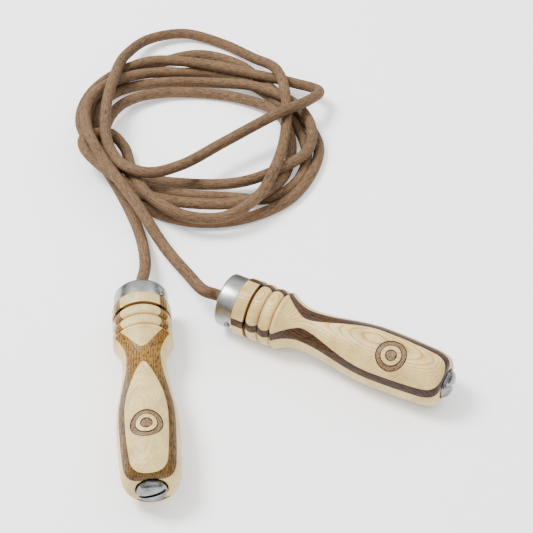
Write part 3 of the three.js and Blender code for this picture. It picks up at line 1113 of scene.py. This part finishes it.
@dataclass
class Collar:
    """The spun cup over the tenon, held by two round-headed pins."""

    place: HandlePlace
    cup: MetalFinish
    pins: MetalFinish
    radius: float = 15.45
    length: float = 11.0
    wall: float = 1.2
    front: float = 1.6
    hole: float = 5.5
    rounds: tuple[float, ...] = (0.3, 1.9, 0.25, 0.15, 0.4, 0.2)
    pin_radius: float = 0.8
    pin_head: float = 1.7
    pin_height: float = 1.2
    pin_seat: float = 0.05
    pin_rim: float = 0.45
    pin_crown: tuple[float, float] = (0.72, 0.45)
    pin_cup: tuple[float, float] = (0.3, 0.2)
    pin_rounds: tuple[float, ...] = (0.2, 0.0, 0.15, 0.25, 0.3, 0.2)
    pin_depth: float = 4.2
    pin_set_back: float = 2.6

    def build(self) -> None:
        """Spin the cup and drive its pins."""
        side, body = self.place.side, f"{self.place.side}_handle"
        inner = self.radius - self.wall
        corners = [
            (self.hole, 0.0),
            (self.radius, 0.0),
            (self.radius, self.length),
            (inner, self.length),
            (inner, self.front),
            (self.hole, self.front),
        ]
        profile = rounded(corners, self.rounds)
        cup = self.place.turn(f"{side}_collar_cup", body, profile, TURNED_SIDES, ring=True)
        self.place.fit(cup, self.cup, "collar")
        for i, turn in enumerate(self.place.pin_turns, 1):
            pin = self.pin(f"{side}_collar_rivet_{i}", body, math.radians(turn))
            self.place.fit(pin, self.pins, f"collar_pin_{i}")

    def pin(self, name: str, body: str, turn: float) -> bpy.types.Object:
        """A pin with a cupped round head, turned about its own axis out of the collar.

        A point is h along the pin from the handle's axis and (r cos v, r sin v) across it, carried
        round the handle by the pin's turn.

        Args:
            name: the piece's name.
            body: the body that it rides on.
            turn: its turn round the handle, in radians.

        Returns:
            The pin.
        """
        foot, seat = self.radius - self.pin_depth, self.radius + self.pin_seat
        top = seat + self.pin_height
        crown, cup = (share * self.pin_head for share in self.pin_crown)
        corners = [
            (self.pin_radius, foot),
            (self.pin_radius, seat),
            (self.pin_head, seat),
            (self.pin_head, seat + self.pin_rim),
            (crown, top),
            (cup, top - self.pin_cup[0]),
        ]
        outside = rounded(corners, self.pin_rounds, loop=False)
        profile = np.array([(0.0, foot), *outside, (0.0, top - self.pin_cup[1])])
        sides = SMALL_SIDES // 2
        angle = turns(sides)
        r, h = profile[:, :1], np.broadcast_to(profile[:, 1:], (len(profile), sides))
        across, along = r * np.cos(angle), r * np.sin(angle)
        x = h * math.cos(turn) - across * math.sin(turn)
        y = h * math.sin(turn) + across * math.cos(turn)
        z = self.length - self.pin_set_back + along
        points = np.stack([x, y, z], -1).reshape(-1, 3)
        piece = new_piece(name, self.place.to_world(points), grid_faces(len(profile), sides), body)
        close(piece)
        return piece


@dataclass
class Bearing:
    """A deep-groove ball bearing behind the collar's front wall."""

    place: HandlePlace
    steel: MetalFinish
    bore: float = 5.0
    inner_way: float = 5.9
    outer_way: float = 8.5
    radius: float = 9.5
    start: float = 3.0
    end: float = 8.0
    circle: float = 7.2
    ball: float = 1.0
    balls: int = 8
    ball_rows: int = 12
    ball_columns: int = 20
    cage_wall: float = 0.8
    cage_width: float = 1.4
    groove: float = 0.25
    groove_count: int = 8

    @property
    def middle(self) -> float:
        """The place of the balls along the handle."""
        return (self.start + self.end) / 2

    def build(self) -> None:
        """Make the two races and the caged balls."""
        side = self.place.side
        self.race("inner", "rope_line", self.bore, self.inner_way, -self.groove)
        self.race("outer", f"{side}_handle", self.radius, self.outer_way, self.groove)
        half, wall = self.cage_width / 2, self.cage_wall / 2
        ends = (self.middle - half, self.middle + half)
        corners = rounded(section(self.circle - wall, self.circle + wall, *ends), 0.15)
        cage = self.place.turn(f"{side}_ball_spacer", f"{side}_ball_cage", corners, ring=True)
        self.add_balls(cage)
        self.place.fit(cage, self.steel, "bearing_ball_cage")

    def race(self, which: str, body: str, face: float, way: float, groove: float) -> None:
        """One race: a ring from its plain face to its ball way, which is hollowed by a groove.

        Args:
            which: inner or outer.
            body: the body that it rides on.
            face: the radius of its plain face.
            way: the radius of its ball way.
            groove: how far the balls' groove adds to that radius.
        """
        low, high = self.middle - self.ball, self.middle + self.ball
        hollow = quadratic((way, low), (way + 2 * groove, self.middle), (way, high), self.groove_count)
        edge = rounded([(face, self.start), (way, self.start), (way, low)], [0.2, 0.15, 0.0], loop=False)
        profile = [*edge, *hollow, (way, self.end), (face, self.end)]
        race = self.place.turn(f"{self.place.side}_{which}_race", body, profile, ring=True)
        self.place.fit(race, self.steel, f"bearing_{which}_race")

    def add_balls(self, cage: bpy.types.Object) -> None:
        """Join the balls to their cage: each is a sphere of latitude and longitude circles.

        Args:
            cage: the ring that holds them, whose mesh takes them in.
        """
        rows, columns = self.ball_rows, self.ball_columns
        latitude = np.linspace(-math.pi / 2, math.pi / 2, rows)[:, None]
        longitude = turns(columns)[None, :]
        flat = np.cos(latitude)
        height = np.broadcast_to(np.sin(latitude), (rows, columns))
        ball = self.ball * np.stack([flat * np.cos(longitude), flat * np.sin(longitude), height], -1)
        work = bmesh.new()
        work.from_mesh(cage.data)
        for turn in turns(self.balls):
            centre = [self.circle * math.cos(turn), self.circle * math.sin(turn), self.middle]
            points = self.place.to_world(ball.reshape(-1, 3) + centre)
            mesh = bpy.data.meshes.new("ball")
            mesh.from_pydata(points.tolist(), [], grid_faces(rows, columns))
            work.from_mesh(mesh)
            bpy.data.meshes.remove(mesh)
        work.to_mesh(cage.data)
        work.free()
        close(cage)


@dataclass
class RopeEnd:
    """What holds the rope in the bearing: a flanged sleeve, a thrust washer and a crimped ring."""

    place: HandlePlace
    sleeve: MetalFinish
    steel: MetalFinish
    bore: float = 3.8
    sleeve_radius: float = 4.7
    sleeve_start: float = -1.2
    sleeve_end: float = 8.3
    flange_radius: float = 6.2
    flange: tuple[float, float] = (1.9, 2.7)
    washer_radius: float = 6.4
    washer: tuple[float, float] = (8.6, 9.6)
    crimp_radius: float = 5.6
    crimp: tuple[float, float] = (9.9, 16.9)
    crimp_depth: float = 0.45
    crimp_steps: int = 12
    crimps: int = 3

    def build(self) -> None:
        """Turn the three pieces round the rope's end."""
        low, high = self.flange
        corners = [
            (self.bore, self.sleeve_start),
            (self.sleeve_radius, self.sleeve_start),
            (self.sleeve_radius, low),
            (self.flange_radius, low),
            (self.flange_radius, high),
            (self.sleeve_radius, high),
            (self.sleeve_radius, self.sleeve_end),
            (self.bore, self.sleeve_end),
        ]
        washer = rounded(section(self.bore, self.washer_radius, *self.washer), 0.15)
        for name, finish, profile, node in (
            ("sleeve", self.sleeve, rounded(corners, 0.2), "rope_sleeve"),
            ("back_washer", self.steel, washer, "thrust_washer"),
            ("crimp", self.steel, self.crimp_profile(), "stop_ring"),
        ):
            piece = self.place.turn(f"{self.place.side}_{name}", "rope_line", profile, ring=True)
            self.place.fit(piece, finish, node)

    def crimp_profile(self) -> Profile:
        """The crimped ring: its outside sinks by a raised cosine at each squeeze of the pliers."""
        start, end = self.crimp
        t = np.linspace(0.0, 1.0, self.crimp_steps * self.crimps + 1)
        dip = self.crimp_depth * (0.5 - 0.5 * np.cos(2 * math.pi * self.crimps * t))
        outside = list(zip(self.crimp_radius - dip, start + (end - start) * t))
        return [(self.bore, start), *outside, (self.bore, end)]


@dataclass
class Ballast:
    """The steel weight in the bore and the rubber pad behind it."""

    place: HandlePlace
    steel: MetalFinish
    rubber: DullFinish
    rod_radius: float = 5.7
    rod: tuple[float, float] = (30.4, 115.4)
    rod_edge: float = 0.6
    pad_radius: float = 5.6
    pad: tuple[float, float] = (115.7, 119.6)
    pad_edge: float = 0.4

    def build(self) -> None:
        """Turn both as chamfered rods."""
        side = self.place.side
        for name, node, radius, ends, edge, finish in (
            ("weight", "weight_rod", self.rod_radius, self.rod, self.rod_edge, self.steel),
            ("cushion", "weight_pad", self.pad_radius, self.pad, self.pad_edge, self.rubber),
        ):
            profile = rounded(section(0.0, radius, *ends), [0.0, edge, edge, 0.0], loop=False)
            piece = self.place.turn(f"{side}_{name}", f"{side}_weight", profile)
            self.place.fit(piece, finish, node)


@dataclass
class PlugEnd:
    """The domed plug with its slot and thread, its fibre washer and its brass insert."""

    place: HandlePlace
    steel: MetalFinish
    brass: MetalFinish
    fibre: DullFinish
    shank: float = 6.3
    start: float = 119.9
    head: float = 133.9
    rim: float = 136.5
    top: float = 139.4
    head_radius: float = 7.85
    head_edge: float = 0.3
    dome_edge: float = 0.25
    dome_share: float = 0.8
    dome_count: int = 16
    thread_depth: float = 0.5
    thread_ends: tuple[float, float] = (0.8, 1.2)
    neck_length: float = 1.0
    slot_width: float = 2.0
    slot_depth: float = 2.4
    insert: tuple[float, float] = (116.3, 132.3)
    insert_bore: float = 6.6
    insert_radius: float = 7.9
    insert_lead: float = 1.0
    washer: tuple[float, float] = (132.6, 133.6)
    washer_radius: float = 8.3

    def build(self) -> None:
        """Make the insert, the washer and the plug."""
        side, place = self.place.side, self.place
        start, end = self.insert
        lead, depth = self.insert_lead, self.thread_depth
        thread = Thread(self.insert_bore, start + lead, end - lead, depth=depth)
        edge = section(self.insert_bore + depth, self.insert_radius, start, end)
        profile = [*edge, *thread.rows()[::-1]]
        name = f"{side}_brass_insert"
        insert = place.turn(name, f"{side}_handle", profile, ring=True, thread=thread)
        place.fit(insert, self.brass, "thread_insert", 40.0)

        profile = rounded(section(self.insert_bore, self.washer_radius, *self.washer), 0.15)
        washer = place.turn(f"{side}_fibre_washer", f"{side}_plug_washer", profile, ring=True)
        place.fit(washer, self.fibre, "plug_washer")
        self.plug()

    def plug(self) -> None:
        """Turn the plug and mill its slot: the head is a short rim and a dome with a soft edge."""
        side, radius, top = self.place.side, self.head_radius, self.top
        thread = Thread(self.shank, self.start + self.thread_ends[0], self.head - self.thread_ends[1])
        brim = (radius - self.dome_edge, self.rim + self.dome_edge)
        profile = [
            (0.0, self.start),
            (self.shank - self.thread_ends[0], self.start),
            *thread.rows(),
            (self.shank - self.thread_depth, self.head - self.neck_length),
            (self.shank - self.thread_depth, self.head),
            (radius - self.head_edge, self.head),
            (radius, self.head + self.head_edge),
            (radius, self.rim),
            brim,
            *quadratic(brim, (self.dome_share * radius, top), (0.0, top), self.dome_count),
        ]
        plug = self.place.turn(f"{side}_slotted_plug", f"{side}_plug", profile, thread=thread)
        half, wide = self.slot_width / 2, 2 * radius
        depths = (top - self.slot_depth, top + self.slot_depth)
        slot = self.place.box((-wide, wide), (-half, half), depths, math.radians(self.place.slot_turn))
        cut(plug, slot, "DIFFERENCE")
        self.place.fit(plug, self.steel, "end_plug", 35.0)


# ---- the rope

ROUTE = [
    (-0.079, 0.096, 0.007), (-0.085, 0.13, 0.001), (-0.099, 0.167, 0), (-0.116, 0.202, 0),
    (-0.13, 0.236, 0), (-0.126, 0.263, 0.001), (-0.11, 0.283, 0.003), (-0.086, 0.292, 0.007),
    (-0.052, 0.289, 0.007), (-0.014, 0.278, 0.006), (0.012, 0.27, 0.005), (0.027, 0.257, 0.009),
    (0.02, 0.24, 0.015), (-0.002, 0.22, 0.019), (-0.035, 0.196, 0.016), (-0.061, 0.172, 0.018),
    (-0.08, 0.163, 0.02), (-0.097, 0.171, 0.02), (-0.108, 0.195, 0.019), (-0.111, 0.227, 0.019),
    (-0.108, 0.265, 0.017), (-0.103, 0.297, 0.009), (-0.089, 0.321, 0.004),
    (-0.065, 0.33, 0.002), (-0.04, 0.322, 0), (-0.017, 0.301, 0.003), (-0.001, 0.276, 0.012),
    (0.005, 0.245, 0.013), (0.004, 0.209, 0.011), (-0.002, 0.176, 0.014),
    (-0.013, 0.149, 0.013), (-0.033, 0.134, 0.01), (-0.057, 0.134, 0.011),
    (-0.078, 0.148, 0.013), (-0.091, 0.171, 0.011), (-0.103, 0.196, 0.001), (-0.118, 0.224, 0),
    (-0.12, 0.25, 0), (-0.107, 0.268, 0), (-0.081, 0.277, 0), (-0.046, 0.276, 0.001),
    (-0.014, 0.265, 0.006), (0.01, 0.247, 0.007), (0.021, 0.223, 0.007), (0.018, 0.198, 0.007),
    (0, 0.18, 0.008), (-0.024, 0.171, 0.005), (-0.057, 0.174, 0.001), (-0.09, 0.184, 0),
    (-0.099, 0.206, 0.004), (-0.108, 0.212, 0.01), (-0.123, 0.202, 0.015),
    (-0.122, 0.191, 0.015), (-0.102, 0.169, 0.012), (-0.082, 0.157, 0.007),
    (-0.049, 0.149, 0.007), (-0.021, 0.151, 0.007), (-0.004, 0.165, 0.006),
    (0.005, 0.186, 0.001), (0.008, 0.216, 0.001), (0, 0.241, 0.003), (-0.022, 0.258, 0.001),
    (-0.051, 0.266, 0), (-0.082, 0.263, 0.002), (-0.103, 0.248, 0.005), (-0.112, 0.223, 0.006),
    (-0.109, 0.196, 0.006), (-0.097, 0.173, 0), (-0.078, 0.15, 0), (-0.051, 0.14, 0),
    (-0.022, 0.143, 0), (0.005, 0.159, 0), (0.02, 0.183, 0), (0.026, 0.211, 0),
    (0.015, 0.242, 0), (-0.007, 0.274, 0), (-0.029, 0.299, 0), (-0.055, 0.307, 0.001),
    (-0.081, 0.299, 0), (-0.106, 0.277, 0.002), (-0.122, 0.253, 0.007), (-0.124, 0.223, 0.007),
    (-0.116, 0.193, 0.007), (-0.1, 0.172, 0.007), (-0.072, 0.162, 0.005),
    (-0.033, 0.159, 0.003), (-0.004, 0.162, 0), (0.012, 0.178, 0), (0.018, 0.205, 0),
    (0.01, 0.236, 0), (-0.009, 0.266, 0), (-0.033, 0.284, 0), (-0.062, 0.287, 0.001),
    (-0.092, 0.279, 0.006), (-0.114, 0.261, 0.011), (-0.124, 0.235, 0.016),
    (-0.121, 0.205, 0.019), (-0.109, 0.177, 0.019), (-0.087, 0.144, 0.012),
    (-0.069, 0.113, 0.006), (-0.053, 0.082, 0.013), (-0.043, 0.065, 0.017),
]


@dataclass
class Rope:
    """One round leather cord from handle to handle."""

    finish: LeatherFinish
    ends: tuple[HandlePlace, HandlePlace]
    radius: float = 3.5 * MM
    straight: float = 7.0 * MM
    inside: float = 17.7 * MM
    step: float = 2.4 * MM
    sides: int = 20
    span_steps: int = 32

    def route(self) -> np.ndarray:
        """The points that the cord passes through, with its ends on the handles' axes."""
        first, last = self.ends
        start = [first.origin + s * first.axes[2] for s in (self.inside, 0.0, -self.straight)]
        finish = [last.origin + s * last.axes[2] for s in (-self.straight, 0.0, self.inside)]
        middle = np.array(ROUTE) + [0.0, 0.0, self.radius]
        return np.vstack([start, middle, finish])

    def centreline(self) -> np.ndarray:
        """A centripetal Catmull-Rom curve through the route, at even steps, never below the floor.

        Each span is a cubic with end tangents from its neighbours, weighted by the root of their
        distances, so that it has no loops between unevenly spaced points.
        """
        points = self.route()
        padded = np.vstack([2 * points[0] - points[1], points, 2 * points[-1] - points[-2]])
        a, b, c, d = padded[:-3], padded[1:-2], padded[2:-1], padded[3:]
        gap = [np.sqrt(np.linalg.norm(q - p, axis=1))[:, None] for p, q in ((a, b), (b, c), (c, d))]
        leave = ((c - b) / gap[1] - (c - a) / (gap[0] + gap[1]) + (b - a) / gap[0]) * gap[1]
        reach = ((d - c) / gap[2] - (d - b) / (gap[1] + gap[2]) + (c - b) / gap[1]) * gap[1]
        t = np.linspace(0.0, 1.0, self.span_steps, endpoint=False)[None, :, None]
        b, c, leave, reach = (x[:, None, :] for x in (b, c, leave, reach))
        curve = (
            (2 * t**3 - 3 * t**2 + 1) * b
            + (t**3 - 2 * t**2 + t) * leave
            + (3 * t**2 - 2 * t**3) * c
            + (t**3 - t**2) * reach
        ).reshape(-1, 3)
        curve = np.vstack([curve, points[-1]])
        curve[:, 2] = np.maximum(curve[:, 2], self.radius)
        run = run_along(curve)
        even = np.linspace(0.0, run[-1], int(run[-1] / self.step) + 1)
        return np.stack([np.interp(even, run, curve[:, k]) for k in range(3)], 1)

    def build(self) -> None:
        """Sweep a circle along the centre line.

        A point is c(u) + r (cos v * side + sin v * top), where side is level and square to the line and
        top is square to both.
        """
        line = self.centreline()
        tangent = np.gradient(line, axis=0)
        tangent /= np.linalg.norm(tangent, axis=1)[:, None]
        side = np.cross(tangent, UP)
        side /= np.linalg.norm(side, axis=1)[:, None]
        top = np.cross(side, tangent)
        angle = turns(self.sides)[None, :, None]
        tube = line[:, None] + self.radius * (np.cos(angle) * side[:, None] + np.sin(angle) * top[:, None])
        count = len(line)
        faces = grid_faces(count, self.sides)
        faces += [list(range(self.sides)), list(range((count - 1) * self.sides, count * self.sides))]
        piece = new_piece("rope_cord", tube.reshape(-1, 3), faces, "rope_line")
        close(piece)
        run = run_along(line)
        self.map_surface(piece, run)
        shade(piece, 60.0)
        dress(piece, self.finish.make(), self.finish.slot, "rope")
        log.info("rope length %.3f m", run[-1])

    def map_surface(self, piece: bpy.types.Object, run: np.ndarray) -> None:
        """Write the cord's map: U in metres along it, V once round it, with the seam along one side.

        Args:
            piece: the cord.
            run: the way along the cord to each of its stations, in metres.
        """
        mesh = piece.data
        corners = np.empty(len(mesh.loops), np.int32)
        mesh.loops.foreach_get("vertex_index", corners)
        totals = np.empty(len(mesh.polygons), np.int32)
        mesh.polygons.foreach_get("loop_total", totals)
        row, column = corners // self.sides, corners % self.sides
        turn = column / self.sides
        face_of = np.repeat(np.arange(len(totals)), totals)
        highest = np.zeros(len(totals))
        np.maximum.at(highest, face_of, turn)
        wrapped = (highest[face_of] > 0.9) & (turn < 0.1) & (totals[face_of] == 4)
        layer = mesh.uv_layers.new(name="along_the_cord")
        layer.uv.foreach_set("vector", np.stack([run[row], turn + wrapped], -1).astype(np.float32).ravel())


def main() -> None:
    """Build the whole scene."""
    logging.basicConfig(level=logging.INFO, format="%(message)s")
    Viewpoint().build()
    left = HandlePlace("left", 182.0, (126.0, 306.0), 103.0)
    right = HandlePlace("right", 27.7, (74.0, 254.0), -162.7)
    Rope(LeatherFinish(), (left, right)).build()
    Studio().build()

    maple = WoodFinish(
        Board.PALE, "oiled_maple", "E2CB8E", "D9B45C", "B48A2C", 0.75, "CDBD9C", 0.4, "7D5C30", sway=0.6
    )
    teak = WoodFinish(
        Board.DARK,
        "oiled_teak",
        "A3782E",
        "8F6620",
        "6A4818",
        1.3,
        "4A3416",
        1.0,
        "1C1109",
        grip_tone="BCBCB0",
    )
    walnut = WoodFinish(
        Board.DARK,
        "oiled_walnut",
        "54340F",
        "42280F",
        "2A1808",
        1.3,
        "54402C",
        1.0,
        "120B06",
        grip_tone="DCD6CE",
    )
    nickel = MetalFinish("satin_nickel", "satin_nickel", "A3A3A0", "8F908E", 0.28)
    polished = MetalFinish("polished_steel", "polished_steel", "868888", "5E6061", 0.24)
    race = MetalFinish("ground_steel", "bearing_steel", "A9ABAC", "8E9192", 0.22, 0.03)
    plain = MetalFinish("drawn_steel", "plain_steel", "8C8D8C", "6F706F", 0.38, 0.08)
    brass = MetalFinish("turned_brass", "brass", "B08D45", "86682F", 0.32)
    rubber = DullFinish("moulded_rubber", "black_rubber", "1B1B1B", "2E2E2D", 0.85)
    fibre = DullFinish("vulcanised_fibre", "dark_fibre", "211C18", "362E27", 0.7)
    for place, dark, marked, figure in ((left, teak, "cap_b_grip", 0.4), (right, walnut, "cap_a", 0.85)):
        Turning(place, maple, dark, marked, figure).build()
        Collar(place, nickel, polished).build()
        Bearing(place, race).build()
        RopeEnd(place, brass, plain).build()
        Ballast(place, plain, rubber).build()
        PlugEnd(place, polished, brass, fibre).build()


if __name__ == "__main__":
    main()
